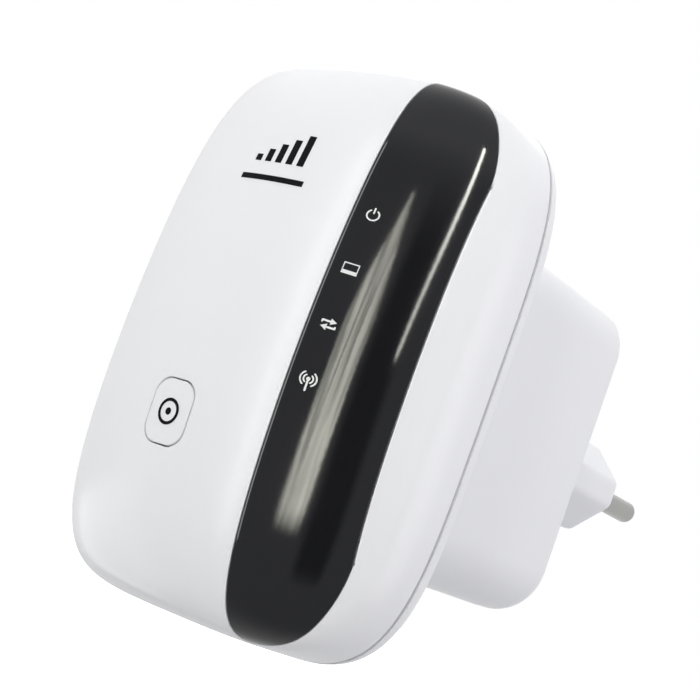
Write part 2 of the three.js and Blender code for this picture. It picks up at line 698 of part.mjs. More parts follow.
place('power_board', powerBoard(), 'board');
place('board_link', boardLink(), 'chip');
place('transformer_core', transformerCore(), 'ferrite');
place('transformer_coil', transformerCoil(), 'tape');
place('mains_capacitor', capacitor(4, 13, -11, 24), 'film');
place('output_capacitor', capacitor(3.1, 10, -11.5, 13), 'film');
place('bridge_rectifier', onPower(6.5, 5, 2.6, -2.5, 30), 'chip');
place('fuse_resistor', rod('x', 1.6, [-3, 7], [12, SEAT + 1.6 + SNUG], 14), 'tape');
place('contact_left', contactBlade(-PIN_X), 'gold');
place('contact_right', contactBlade(PIN_X), 'gold');

for (const [side, x] of [['left', -PIN_X], ['right', PIN_X]]) {
  const socket = new THREE.Group();
  socket.position.set(x, 0, BOSS_Z);
  extender.add(socket);
  place(`pin_${side}`, pin(), 'pin', socket);
  place(`pin_sleeve_${side}`, pinSleeve(), 'sleeve', socket);
}

export default extender;
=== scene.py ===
# %% [markdown]
# A plug-in range extender is two moulded shells, a glossy window, a push button and a plug.
# Its look depends on broad, calm curves, so each outer skin is built here from the same sizes
# as the solid model, with many more faces. The solid model is loaded first and stays put.

# %% Load the solid model
import json
from math import atan2, cos, hypot, pi, radians, sin, sqrt

import bmesh
import bpy
import numpy as np
from mathutils import Matrix, Vector


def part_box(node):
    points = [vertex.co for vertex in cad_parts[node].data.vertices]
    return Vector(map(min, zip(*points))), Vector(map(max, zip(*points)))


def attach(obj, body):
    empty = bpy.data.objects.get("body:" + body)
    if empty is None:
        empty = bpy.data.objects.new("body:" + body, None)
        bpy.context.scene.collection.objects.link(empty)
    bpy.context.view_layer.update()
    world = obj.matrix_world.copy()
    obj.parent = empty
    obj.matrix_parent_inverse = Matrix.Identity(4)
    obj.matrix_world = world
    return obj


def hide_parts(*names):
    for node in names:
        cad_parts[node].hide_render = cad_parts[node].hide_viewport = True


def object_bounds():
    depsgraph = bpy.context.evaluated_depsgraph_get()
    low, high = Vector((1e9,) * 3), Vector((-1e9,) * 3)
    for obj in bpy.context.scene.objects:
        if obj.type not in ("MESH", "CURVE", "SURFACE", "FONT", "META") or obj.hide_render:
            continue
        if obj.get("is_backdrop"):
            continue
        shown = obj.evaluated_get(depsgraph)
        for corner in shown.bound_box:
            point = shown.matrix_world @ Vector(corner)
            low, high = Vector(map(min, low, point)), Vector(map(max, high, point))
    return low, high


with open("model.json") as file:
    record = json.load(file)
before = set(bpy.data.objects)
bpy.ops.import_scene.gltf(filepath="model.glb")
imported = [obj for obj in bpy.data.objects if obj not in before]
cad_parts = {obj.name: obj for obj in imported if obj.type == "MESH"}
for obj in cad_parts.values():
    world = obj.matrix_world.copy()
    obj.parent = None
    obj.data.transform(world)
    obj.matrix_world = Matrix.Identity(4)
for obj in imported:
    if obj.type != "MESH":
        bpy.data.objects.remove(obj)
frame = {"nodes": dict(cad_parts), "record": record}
cad_low, cad_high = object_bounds()
print("solid pieces:", len(frame["nodes"]), " size in mm:", [round(1000 * s, 1) for s in cad_high - cad_low])

# %% [markdown]
# All shapes below are written in millimetres, from the middle of the seam between the two
# shells. One function turns such a point into the model's own frame, which is in metres and
# starts at the plug's end face.

# %% Working frame
MM = 0.001
shell_low, shell_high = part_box("front_shell")
plug_low, plug_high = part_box("rear_shell")
HALF_W = (shell_high.x - shell_low.x) / 2 / MM
HALF_H = (shell_high.z - shell_low.z) / 2 / MM
CENTRE_Z = (shell_high.z + shell_low.z) / 2 / MM
SEAM = 0.5
SEAM_Y = shell_high.y / MM + SEAM / 2


def place(x, y, z):
    """A point in millimetres from the seam, as a point of the model in metres."""
    return Vector((x * MM, (y + SEAM_Y) * MM, (z + CENTRE_Z) * MM))


def local(point):
    """A model point back in millimetres from the seam."""
    return point.x / MM, point.y / MM - SEAM_Y, point.z / MM - CENTRE_Z


print("case half size", round(HALF_W, 2), round(HALF_H, 2), "seam at", round(SEAM_Y, 2),
      "rear shell depth", round((plug_high.y - plug_low.y) / MM, 2))

# %% [markdown]
# The front is a squared ellipse seen face on and a shallow dome seen from the side, and its
# crest lies left of the middle. It could be drawn as a surface by hand. A formula is used
# because the shell, the window and the button all have to share exactly the same skin.

# %% The domed front as a formula
OUTLINE_POWER = 4.4
EDGE_POWER = 7.0
FRONT_D = -shell_low.y / MM + SEAM_Y - 0.04
CREST_X = -5.8
FALL_X = 0.0119
FALL_Z = 0.00185
WALL = 2.4


def crest_depth(x, z):
    return FRONT_D - FALL_X * (x - CREST_X) ** 2 - FALL_Z * z ** 2


def reach(x, z):
    """0 in the middle of the front and 1 on the case outline."""
    total = abs(x / HALF_W) ** OUTLINE_POWER + abs(z / HALF_H) ** OUTLINE_POWER
    return total ** (1 / OUTLINE_POWER)


def front_y(x, z):
    r = min(reach(x, z), 1.0)
    return -crest_depth(x, z) * (1 - r ** EDGE_POWER) ** (1 / EDGE_POWER)


def outline_point(angle, inset=0.0):
    a, b = HALF_W - inset, HALF_H - inset
    s, c = sin(angle), cos(angle)
    k = (abs(s / a) ** OUTLINE_POWER + abs(c / b) ** OUTLINE_POWER) ** (-1 / OUTLINE_POWER)
    return s * k, c * k


def solve(test, low, high, steps=44):
    """The place between low and high where test turns from true to false."""
    for _ in range(steps):
        middle = (low + high) / 2
        low, high = (middle, high) if test(middle) else (low, middle)
    return (low + high) / 2


def end_z(x, y):
    """How far up the case the skin reaches depth y, along a line of constant x."""
    return solve(lambda z: front_y(x, z) < y, 0.0, HALF_H)


def side_x(y, z):
    """How far to the left the skin reaches depth y, along a line of constant z."""
    return -solve(lambda x: front_y(-x, z) < y, HALF_W / 2, HALF_W)


print("skin depth at the middle", round(front_y(0, 0), 2), "and at the shoulder", round(front_y(28, 0), 2))

# %% [markdown]
# Each skin is a stack of rings, joined by quads. Rings are easy to reason about: one list of
# points for each station from the middle of the front to the seam.

# %% Helpers that turn rings into meshes
def even_angles(count, half_w, half_h):
    """Angles that step evenly along the outline, so that the quads stay alike."""
    fine = [outline_point(2 * pi * i / 4000) for i in range(4001)]
    walked = np.cumsum([0.0] + [hypot(b[0] - a[0], b[1] - a[1]) for a, b in zip(fine, fine[1:])])
    wanted = np.linspace(0, walked[-1], count, endpoint=False)
    return list(np.interp(wanted, walked, np.linspace(0, 2 * pi, 4001)))


def stack_rings(bm, rings, start=None, end=None):
    """Quads between rings of points; start and end close the stack with a middle point."""
    rows = [[bm.verts.new(place(*p)) for p in ring] for ring in rings]
    for above, below in zip(rows, rows[1:]):
        for i in range(len(above)):
            j = (i + 1) % len(above)
            bm.faces.new((above[i], above[j], below[j], below[i]))
    for middle, row in ((start, rows[0]), (end, rows[-1])):
        if middle is not None:
            hub = bm.verts.new(place(*middle))
            for i in range(len(row)):
                bm.faces.new((hub, row[i], row[(i + 1) % len(row)]))
    return rows


def finish_piece(bm, name, material, body="housing", replaces=(), smooth=True):
    bmesh.ops.recalc_face_normals(bm, faces=bm.faces)
    mesh = bpy.data.meshes.new(name)
    bm.to_mesh(mesh)
    bm.free()
    piece = bpy.data.objects.new(name, mesh)
    bpy.context.scene.collection.objects.link(piece)
    for polygon in mesh.polygons:
        polygon.use_smooth = smooth
    mesh.materials.append(material)
    if replaces:
        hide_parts(*replaces)
    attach(piece, body)
    print(name, len(mesh.polygons), "faces")
    return piece


def sharpen(piece, degrees=40):
    """Keeps edges crisp where the skin turns by more than the given angle."""
    piece.data.set_sharp_from_angle(angle=radians(degrees))


def boundary_loop(bm, faces_gone):
    """Removes faces and gives the new open edge as an ordered loop of vertices."""
    edge_count = {}
    for f in faces_gone:
        for e in f.edges:
            edge_count[e] = edge_count.get(e, 0) + 1
    rim = [e for e, n in edge_count.items() if n == 1]
    follows = {}
    for e in rim:
        for v in e.verts:
            follows.setdefault(v, []).append(e.other_vert(v))
    loop = [rim[0].verts[0]]
    before = None
    while True:
        step = [v for v in follows[loop[-1]] if v is not before]
        before = loop[-1]
        if step[0] is loop[0] and len(loop) > 2:
            break
        loop.append(step[0])
    bmesh.ops.delete(bm, geom=list(faces_gone), context="FACES")
    return loop


def rounded_return(bm, loop, into, radius, depth, steps=3):
    """Rolls an open edge over a small radius and carries it down to a depth, as a moulded edge."""
    bmesh.ops.recalc_face_normals(bm, faces=bm.faces)
    bm.normal_update()
    count = len(loop)
    spots = []
    for i, v in enumerate(loop):
        along = loop[(i + 1) % count].co - loop[i - 1].co
        normal = v.normal.copy()
        out = along.cross(normal)
        if out.dot(into(v.co) - v.co) < 0:
            out = -out
        spots.append((v.co.copy(), out.normalized(), normal))
    for v, (co, out, _) in zip(loop, spots):
        v.co = co - out * radius * MM
    last = loop
    turns = [(sin(pi / 2 * k / steps), 1 - cos(pi / 2 * k / steps)) for k in range(1, steps + 1)]
    levels = [(radius * (s - 1), radius * d) for s, d in turns] + [(0.0, depth)]
    for side, drop in levels:
        row = [bm.verts.new(co + out * side * MM - normal * drop * MM) for co, out, normal in spots]
        for i in range(count):
            j = (i + 1) % count
            bm.faces.new((last[i], last[j], row[j], row[i]))
        last = row
    return last


def open_hole(bm, chosen, flat, outline, lift, into, radius, depth, rings=5):
    """Cuts a hole with a clean outline: faces go, rings lead from the ragged gap to the outline."""
    loop = boundary_loop(bm, chosen)
    starts = [flat(v.co) for v in loop]
    last = loop
    for k in range(1, rings + 1):
        share = k / rings
        row = []
        for u, w in starts:
            a, b = outline(atan2(w, u))
            row.append(bm.verts.new(lift(u + (a - u) * share, w + (b - w) * share)))
        for i in range(len(row)):
            j = (i + 1) % len(row)
            bm.faces.new((last[i], last[j], row[j], row[i]))
        last = row
    return rounded_return(bm, last, into, radius, depth)


def rounded_rect_ray(half_w, half_h, corner):
    """Gives the point of a rectangle with round corners in a direction."""
    def at(angle):
        c, s = cos(angle), sin(angle)
        def outside(k):
            x, z = abs(k * c), abs(k * s)
            dx, dz = x - (half_w - corner), z - (half_h - corner)
            if dx > 0 and dz > 0:
                return hypot(dx, dz) > corner
            return x > half_w or z > half_h
        k = solve(lambda k: not outside(k), 0.0, 2 * (half_w + half_h))
        return k * c, k * s
    return at


# %% [markdown]
# The case is white ABS with a satin polish. Real mouldings are never one flat white: the
# colour drifts a little, the gloss is uneven, and there is a fine orange-peel under the shine.
# Noise textures at two sizes give those, so the shader is built once and reused.

# %% Finishes
def finish(name, colour, roughness, metallic=0.0, drift=0.04, grain=(60, 900), bump=0.02, gloss_drift=0.08,
           coat=0.0, coat_roughness=0.05, specular=0.5, subsurface=0.0, stretch=(1, 1, 1)):
    """A procedural finish: slow colour drift, uneven gloss and a fine surface grain."""
    material = bpy.data.materials.new(name)
    material.use_nodes = True
    nodes, links = material.node_tree.nodes, material.node_tree.links
    shader = nodes["Principled BSDF"]
    shader.inputs["Metallic"].default_value = metallic
    shader.inputs["Specular IOR Level"].default_value = specular
    shader.inputs["Coat Weight"].default_value = coat
    shader.inputs["Coat Roughness"].default_value = coat_roughness
    shader.inputs["Subsurface Weight"].default_value = subsurface
    shader.inputs["Subsurface Radius"].default_value = (0.004, 0.004, 0.004)
    shader.inputs["Subsurface Scale"].default_value = 0.5
    coords = nodes.new("ShaderNodeTexCoord")
    mapping = nodes.new("ShaderNodeMapping")
    mapping.inputs["Scale"].default_value = stretch
    links.new(coords.outputs["Object"], mapping.inputs["Vector"])

    def noise(scale, detail):
        node = nodes.new("ShaderNodeTexNoise")
        node.inputs["Scale"].default_value = scale
        node.inputs["Detail"].default_value = detail
        links.new(mapping.outputs["Vector"], node.inputs["Vector"])
        return node.outputs["Fac"]

    def spread(value, low, high):
        node = nodes.new("ShaderNodeMapRange")
        node.inputs["From Min"].default_value = 0.3
        node.inputs["From Max"].default_value = 0.7
        node.inputs["To Min"].default_value = low
        node.inputs["To Max"].default_value = high
        links.new(value, node.inputs["Value"])
        return node.outputs["Result"]

    slow, fine = noise(grain[0], 3), noise(grain[1], 2)
    tint = nodes.new("ShaderNodeMixRGB")
    tint.inputs["Color1"].default_value = (*[c * (1 - drift) for c in colour], 1)
    tint.inputs["Color2"].default_value = (*[min(c * (1 + drift), 1) for c in colour], 1)
    links.new(slow, tint.inputs["Fac"])
    links.new(tint.outputs["Color"], shader.inputs["Base Color"])
    gloss = spread(slow, roughness * (1 - gloss_drift), roughness * (1 + gloss_drift))
    links.new(gloss, shader.inputs["Roughness"])
    relief = nodes.new("ShaderNodeBump")
    relief.inputs["Strength"].default_value = bump
    relief.inputs["Distance"].default_value = 0.0002
    links.new(fine, relief.inputs["Height"])
    links.new(relief.outputs["Normal"], shader.inputs["Normal"])
    return material


CASE_WHITE = (0.80, 0.805, 0.84)
case_plastic = finish("case_plastic", CASE_WHITE, 0.3, drift=0.012, bump=0.03, coat=0.25, coat_roughness=0.12,
                      subsurface=0.08)
button_plastic = finish("button_plastic", CASE_WHITE, 0.28, drift=0.012, bump=0.03, coat=0.25,
                        coat_roughness=0.12, subsurface=0.08)
window_gloss = finish("window_gloss", (0.0085, 0.0088, 0.011), 0.06, drift=0.15, grain=(40, 700), bump=0.012,
                      gloss_drift=0.35)
print("finishes so far:", len(bpy.data.materials))

# %% [markdown]
# The front shell is one white moulding. It has a long recess for the window, a hole for the
# button, and on its left side the socket's opening and a pinhole for the reset button.
# The rings run at constant depth beside the window's ends, so the recess gets straight edges.

# %% Front shell skin
WINDOW_X = (14.2, 28.0)
WINDOW_BACK = 10.6
WINDOW_ROUND = (1.2, 0.3)
EDGE_SNAP = 0.22
RECESS_ROLL, RECESS_D = 0.12, 1.3
AROUND = 264
angles = even_angles(AROUND, HALF_W, HALF_H)


def depth_ring(y):
    """The ring of the dome at one depth behind the crest."""
    ring = []
    for angle in angles:
        ox, oz = outline_point(angle)
        r = solve(lambda r: front_y(ox * r, oz * r) < y, 0.0, 1.0)
        ring.append((ox * r, y, oz * r, r))
    return ring


side_levels = [-SEAM / 2 - k * (WINDOW_BACK - SEAM / 2) / 9 for k in range(9)] + [-WINDOW_BACK]
side_rings = [depth_ring(y) for y in side_levels]
CROWN_STEPS = 60
crown_rings = []
for k in range(1, CROWN_STEPS):
    ring = []
    for angle, (_, _, _, r0) in zip(angles, side_rings[-1]):
        ox, oz = outline_point(angle)
        edge = atan2(r0, (1 - r0 ** EDGE_POWER) ** (1 / EDGE_POWER))
        turn = edge * (1 - k / CROWN_STEPS)
        s, c = sin(turn), cos(turn)
        r = s * (s ** EDGE_POWER + c ** EDGE_POWER) ** (-1 / EDGE_POWER)
        x, z = ox * r, oz * r
        for edge_x in WINDOW_X:
            if abs(x - edge_x) < EDGE_SNAP:
                x = edge_x
        ring.append((x, front_y(x, z), z))
    crown_rings.append(ring)

shell = bmesh.new()
skirt_rings = [[p[:3] for p in ring] for ring in side_rings]
shell_rows = stack_rings(shell, skirt_rings + crown_rings, end=(0, front_y(0, 0), 0))
for edge_x in WINDOW_X:
    front_faces = [f for f in shell.faces if f.calc_center_median().y < place(0, -WINDOW_BACK, 0).y]
    parts = front_faces + list(dict.fromkeys(e for f in front_faces for e in f.edges))
    parts += list(dict.fromkeys(v for f in front_faces for v in f.verts))
    bmesh.ops.bisect_plane(shell, geom=parts, dist=1e-6, plane_co=(edge_x * MM, 0, 0), plane_no=(1, 0, 0))


def window_end(x, gap=0.0):
    """Depth of the window's ends at x. They run into its right side with a small round corner."""
    near = max(1 - (WINDOW_X[1] - gap - x) / WINDOW_ROUND[0], 0.0)
    return -WINDOW_BACK - gap - WINDOW_ROUND[1] * (1 - sqrt(max(1 - near ** 2, 0.0)))


def in_window(point):
    return WINDOW_X[0] * MM < point.x < WINDOW_X[1] * MM and point.y < place(0, -WINDOW_BACK, 0).y


window_loop = boundary_loop(shell, [f for f in shell.faces if in_window(f.calc_center_median())])


def round_corner(bm, loop):
    """Fills the two square corners of the recess out to their round outline."""
    cx, cy = WINDOW_X[1] - WINDOW_ROUND[0], -WINDOW_BACK - WINDOW_ROUND[1]
    moved = []
    for v in loop:
        x, y, z = local(v.co)
        u, w = (x - cx) / WINDOW_ROUND[0], (y - cy) / WINDOW_ROUND[1]
        if u > 1e-6 and w > 1e-6 and hypot(u, w) > 1 + 1e-6:
            x, y = cx + u * WINDOW_ROUND[0] / hypot(u, w), cy + w * WINDOW_ROUND[1] / hypot(u, w)
            moved.append(bm.verts.new(place(x, y, end_z(x, y) * (1 if z > 0 else -1))))
        else:
            moved.append(v)
    for i, a in enumerate(loop):
        j = (i + 1) % len(loop)
        corners = [a, loop[j]] + [v for v, old in ((moved[j], loop[j]), (moved[i], a)) if v is not old]
        if len(corners) > 2:
            bm.faces.new(corners)
    return moved


def towards_window(point):
    """A point on the window that any point of its edge can be told apart from."""
    z = 0.8 * local(point)[2]
    return place(sum(WINDOW_X) / 2, front_y(sum(WINDOW_X) / 2, z), z)


window_loop = round_corner(shell, window_loop)
rounded_return(shell, window_loop, towards_window, RECESS_ROLL, RECESS_D)
print("window edge has", len(window_loop), "points")

# %% [markdown]
# The holes are cut after the skin is whole. A hole's ragged gap in the grid is filled with
# rings that settle on the clean outline, and every new point is put back on the same skin.

# %% Button hole, socket opening and reset pinhole
BUTTON = (-1.8, -16.7)
BUTTON_SIZE = (7.8, 9.7)
BUTTON_CORNER = 2.8
BUTTON_GAP = 0.16
JACK_MIDDLE = (-9.25, -14.0)
JACK_SIZE = (13.1, 16.0)
RESET = (-5.7, 9.0)


def grid_block(rows, test):
    """The faces of the smallest block of the ring grid that covers every point that passes the test.

    Mesh elements are kept in dicts, not sets, so that their order is the same on every run.
    """
    hits = [(k, i) for k, row in enumerate(rows) for i, v in enumerate(row)
            if v.is_valid and test(*local(v.co))]
    first, last = max(min(k for k, _ in hits) - 1, 1), max(k for k, _ in hits) + 1
    around = len(rows[0])
    columns = sorted({i for _, i in hits})
    jump = max(range(len(columns)), key=lambda n: (columns[n] - columns[n - 1]) % around)
    start = columns[jump] - 1
    width = (columns[jump - 1] - columns[jump]) % around + 2
    inside = dict.fromkeys(rows[k][(start + i) % around]
                           for k in range(first, last + 1) for i in range(width + 1))
    touched = dict.fromkeys(f for v in inside for f in v.link_faces)
    return [f for f in touched if all(v in inside for v in f.verts)]


BUTTON_REACH = (4.6, 5.6)
button_hole = rounded_rect_ray(BUTTON_SIZE[0] / 2 + BUTTON_GAP, BUTTON_SIZE[1] / 2 + BUTTON_GAP,
                               BUTTON_CORNER)
open_hole(
    shell,
    grid_block(shell_rows, lambda x, y, z: y < -FRONT_D / 2 and abs(x - BUTTON[0]) < BUTTON_REACH[0]
               and abs(z - BUTTON[1]) < BUTTON_REACH[1]),
    lambda co: (local(co)[0] - BUTTON[0], local(co)[2] - BUTTON[1]),
    button_hole,
    lambda u, w: place(BUTTON[0] + u, front_y(BUTTON[0] + u, BUTTON[1] + w), BUTTON[1] + w),
    lambda co: place(BUTTON[0], front_y(*BUTTON), BUTTON[1]),
    0.1, WALL,
)


def side_hole(middle, half, corner, margin, radius):
    """A hole in the left side, given by its depth and height."""
    open_hole(
        shell,
        grid_block(shell_rows, lambda x, y, z: x < -HALF_W / 2 and abs(y - middle[0]) < half[0] + margin
                   and abs(z - middle[1]) < half[1] + margin),
        lambda co: (local(co)[1] - middle[0], local(co)[2] - middle[1]),
        rounded_rect_ray(half[0], half[1], corner),
        lambda u, w: place(side_x(middle[0] + u, middle[1] + w), middle[0] + u, middle[1] + w),
        lambda co: place(-HALF_W, *middle),
        radius, WALL,
    )


JACK_GAP = 0.3
RESET_R = 1.0
side_hole(JACK_MIDDLE, (JACK_SIZE[0] / 2 + JACK_GAP, JACK_SIZE[1] / 2 + JACK_GAP),
          corner=0.6, margin=0.9, radius=0.2)
side_hole(RESET, (RESET_R, RESET_R), corner=0.98, margin=1.6, radius=0.15)

seam_edge = [v for v in shell.verts if v.is_boundary and abs(local(v.co)[1] + SEAM / 2) < 0.01]
seam_edge.sort(key=lambda v: atan2(v.co.x, v.co.z - CENTRE_Z * MM))
rounded_return(shell, seam_edge, lambda co: co + Vector((0, MM, 0)), 0.25, 2.2)

# %% Ledge under the window
def dome_patch(bm, xs, zs_of, drop):
    """A grid on the skin between two x values, sunk by drop."""
    rows = []
    for x in xs:
        rows.append([bm.verts.new(place(x, front_y(x, z) + drop, z)) for z in zs_of(x)])
    for a, b in zip(rows, rows[1:]):
        for i in range(len(a) - 1):
            bm.faces.new((a[i], a[i + 1], b[i + 1], b[i]))


LEDGE_LAP, LEDGE_DROP = 0.6, 1.45


def ledge_span(x):
    """Heights along the ledge at x, from a little past one end of the window to the other."""
    top = end_z(x, -WINDOW_BACK + LEDGE_LAP)
    return np.linspace(-top, top, 60) * 0.995


ledge_columns = np.linspace(WINDOW_X[0] - LEDGE_LAP, WINDOW_X[1] + LEDGE_LAP, 12)
dome_patch(shell, ledge_columns, ledge_span, LEDGE_DROP)
front_shell = finish_piece(shell, "front_shell_skin", case_plastic, replaces=["front_shell"])
sharpen(front_shell, 50)

# %% [markdown]
# The window is one long strip of smoked plastic, polished like piano lacquer. It is let into
# the shell flush, with a hairline gap. Because it is a mirror, its grid follows its own edges,
# so that nothing in the mesh shows in the reflections.

# %% Indicator window
WINDOW_GAP = 0.1
WINDOW_T = 1.0
EDGE_R = 0.12
across = WINDOW_X[1] - WINDOW_X[0] - 2 * WINDOW_GAP
edge_steps = [0, 0, 0.015, 0.04, 0.075, EDGE_R]
middle_steps = list(np.linspace(EDGE_R, across - EDGE_R, 44))[1:-1]
columns = edge_steps + middle_steps + [across - d for d in reversed(edge_steps)]
ROWS = 300


def section(x):
    """Points evenly spaced along the window's length at one x."""
    top = end_z(x, window_end(x, WINDOW_GAP))
    zs = top * np.sin(np.linspace(-pi / 2, pi / 2, 1200))
    ys = np.array([front_y(x, z) for z in zs])
    walked = np.concatenate([[0], np.cumsum(np.hypot(np.diff(zs), np.diff(ys)))])
    length = walked[-1]
    inner = list(np.linspace(EDGE_R, length - EDGE_R, ROWS))[1:-1]
    stops = edge_steps + inner + [length - d for d in reversed(edge_steps)]
    z = np.interp(stops, walked, zs)
    return [(x, front_y(x, v), v) for v in z], stops, length


grid, drops = [], []
for c, d in enumerate(columns):
    points, stops, length = section(WINDOW_X[0] + WINDOW_GAP + d)
    grid.append(points)
    row = []
    for r, s in enumerate(stops):
        near = min(d, across - d, s, length - s)
        skirt = c in (0, len(columns) - 1) or r in (0, len(stops) - 1)
        row.append(WINDOW_T if skirt else EDGE_R - sqrt(max(EDGE_R ** 2 - max(EDGE_R - near, 0) ** 2, 0)))
    drops.append(row)
grid, drops = np.array(grid), np.array(drops)


def skin_normal(x, y, z):
    """The outward normal of the dome, from its implicit form."""
    def level(x, y, z):
        return (max(-y, 0) / crest_depth(x, z)) ** EDGE_POWER + reach(x, z) ** EDGE_POWER
    h = 1e-4
    n = Vector((level(x + h, y, z) - level(x - h, y, z),
                level(x, y + h, z) - level(x, y - h, z),
                level(x, y, z + h) - level(x, y, z - h)))
    return n.normalized()


window = bmesh.new()
sheet_rows = []
for points, row in zip(grid, drops):
    line = []
    for (x, y, z), drop in zip(points, row):
        n = skin_normal(x, y, z)
        line.append(window.verts.new(place(x - n.x * drop, y - n.y * drop, z - n.z * drop)))
    sheet_rows.append(line)
for a, b in zip(sheet_rows, sheet_rows[1:]):
    for i in range(len(a) - 1):
        window.faces.new((a[i], a[i + 1], b[i + 1], b[i]))
indicator_window = finish_piece(window, "indicator_window_skin", window_gloss, replaces=["indicator_window"])
sharpen(indicator_window, 60)

# %% [markdown]
# The button's cap continues the dome, so it is cut from the same formula. Only the gap and the
# rolled edge show that it moves.

# %% Pairing button
button = bmesh.new()
cap_outline = rounded_rect_ray(BUTTON_SIZE[0] / 2, BUTTON_SIZE[1] / 2, BUTTON_CORNER)
cap_rings = []
for share in [0.99, 0.97, 0.94, 0.9, 0.84, 0.76, 0.66, 0.54, 0.42, 0.3, 0.18, 0.08]:
    ring = []
    for i in range(120):
        u, w = cap_outline(2 * pi * i / 120)
        x, z = BUTTON[0] + u * share, BUTTON[1] + w * share
        ring.append((x, front_y(x, z), z))
    cap_rings.append(ring)
rows = stack_rings(button, cap_rings, end=(BUTTON[0], front_y(*BUTTON), BUTTON[1]))
CAP_ROLL, CAP_D = 0.12, 3.0
rounded_return(button, rows[0], lambda co: co + (co - place(BUTTON[0], local(co)[1], BUTTON[1])),
               CAP_ROLL, CAP_D)
pairing_button = finish_piece(button, "pairing_button_cap", button_plastic, body="pairing_key",
                              replaces=["pairing_button"])
sharpen(pairing_button, 60)

# %% [markdown]
# The rear shell is a closed stack of rings: in from the middle of the block's rear face, out
# over its rounded edge, down its drafted sides, across the flat back, round the rolled rim,
# and back inside. The outlines change from a squared ellipse to a rectangle with round corners.

# %% Rear shell
RIM_D = 4.0
RIM_ROLL = 3.2
BLOCK = (43.2, 57.2)
BLOCK_Z = 1.4
BLOCK_REAR = 44.9
BLOCK_CORNER = 9.0
BLOCK_FILLET = 4.5
BLOCK_DRAFT = 0.034
ROOT_FILLET = 0.9
BACK_IN = RIM_D - (WALL - 0.2)
LIP_OUT, LIP_IN, LIP_Y = 2.7, 3.6, -1.8
block_walk = np.linspace(0, 1, AROUND, endpoint=False)


def case_ring(inset, y):
    return [(x, y, z) for x, z in (outline_point(a, inset) for a in angles)]


def block_ring(inset, y, taper_at=None):
    """A ring of the block; it follows the block's draft and is pulled in by inset."""
    k = 1 - BLOCK_DRAFT * (y if taper_at is None else taper_at) / BLOCK_REAR
    half_w, half_h = BLOCK[0] / 2, BLOCK[1] / 2
    corner = max(BLOCK_CORNER - inset, 0.6)
    straight_x, straight_z = half_w - inset - corner, half_h - inset - corner
    quarter = pi / 2 * corner
    legs = [straight_x, quarter, 2 * straight_z, quarter, 2 * straight_x,
            quarter, 2 * straight_z, quarter, straight_x]
    total = sum(legs)
    ring = []
    for share in block_walk:
        s = share * total
        x, z, heading = 0.0, straight_z + corner, 0
        for i, leg in enumerate(legs):
            step = min(s, leg)
            if i % 2 == 0:
                x += step * cos(-heading * pi / 2)
                z += step * sin(-heading * pi / 2)
            else:
                turn = step / corner
                hx, hz = cos(-heading * pi / 2), sin(-heading * pi / 2)
                nx, nz = hz, -hx
                cx, cz = x + nx * corner, z + nz * corner
                x = cx - nx * corner * cos(turn) + hx * corner * sin(turn)
                z = cz - nz * corner * cos(turn) + hz * corner * sin(turn)
                if s >= leg:
                    heading += 1
            s -= step
            if s <= 1e-9:
                break
        ring.append((x * k, y, z * k + BLOCK_Z))
    return ring


rear = bmesh.new()
rings = []
for share in (0.12, 0.3, 0.55, 0.8):
    face = block_ring(BLOCK_FILLET, BLOCK_REAR)
    rings.append([(x * share, y, (z - BLOCK_Z) * share + BLOCK_Z) for x, y, z in face])
for k in range(13):
    turn = pi / 2 * (1 - k / 12)
    rings.append(block_ring(BLOCK_FILLET * (1 - cos(turn)), BLOCK_REAR - BLOCK_FILLET * (1 - sin(turn)),
                            BLOCK_REAR))
for k in range(1, 16):
    y = BLOCK_REAR - BLOCK_FILLET + (RIM_D + ROOT_FILLET - BLOCK_REAR + BLOCK_FILLET) * k / 15
    rings.append(block_ring(0, y))
for k in range(1, 5):
    turn = pi / 2 * k / 4
    rings.append(block_ring(-ROOT_FILLET * (1 - cos(turn)), RIM_D + ROOT_FILLET * (1 - sin(turn))))
outer_back = case_ring(RIM_ROLL, RIM_D)
root = rings[-1]
for share in (0.15, 0.35, 0.6, 0.85):
    rings.append([(a[0] + (b[0] - a[0]) * share, RIM_D, a[2] + (b[2] - a[2]) * share)
                  for a, b in zip(root, outer_back)])
for k in range(0, 13):
    turn = pi / 2 * (1 - k / 12)
    rings.append(case_ring(RIM_ROLL * (1 - cos(turn)), SEAM / 2 + (RIM_D - SEAM / 2) * sin(turn)))
rings += [case_ring(0.12, SEAM / 2 - 0.02), case_ring(1.2, SEAM / 2), case_ring(LIP_OUT, SEAM / 2),
          case_ring(LIP_OUT, LIP_Y), case_ring(LIP_IN, LIP_Y), case_ring(LIP_IN, BACK_IN)]
rings += [block_ring(WALL, BACK_IN), block_ring(WALL, 12), block_ring(WALL, BLOCK_REAR - WALL - 4),
          block_ring(WALL + 3, BLOCK_REAR - WALL, BLOCK_REAR)]
stack_rings(rear, rings, start=(0, BLOCK_REAR, BLOCK_Z), end=(0, BLOCK_REAR - WALL, BLOCK_Z))
rear_shell = finish_piece(rear, "rear_shell_skin", case_plastic, replaces=["rear_shell"])

# %% [markdown]
# The vents in the top and bottom of the block are slots with round ends. They are in flat
# walls, where a boolean leaves no mark in the shading, so a boolean is the simple way.

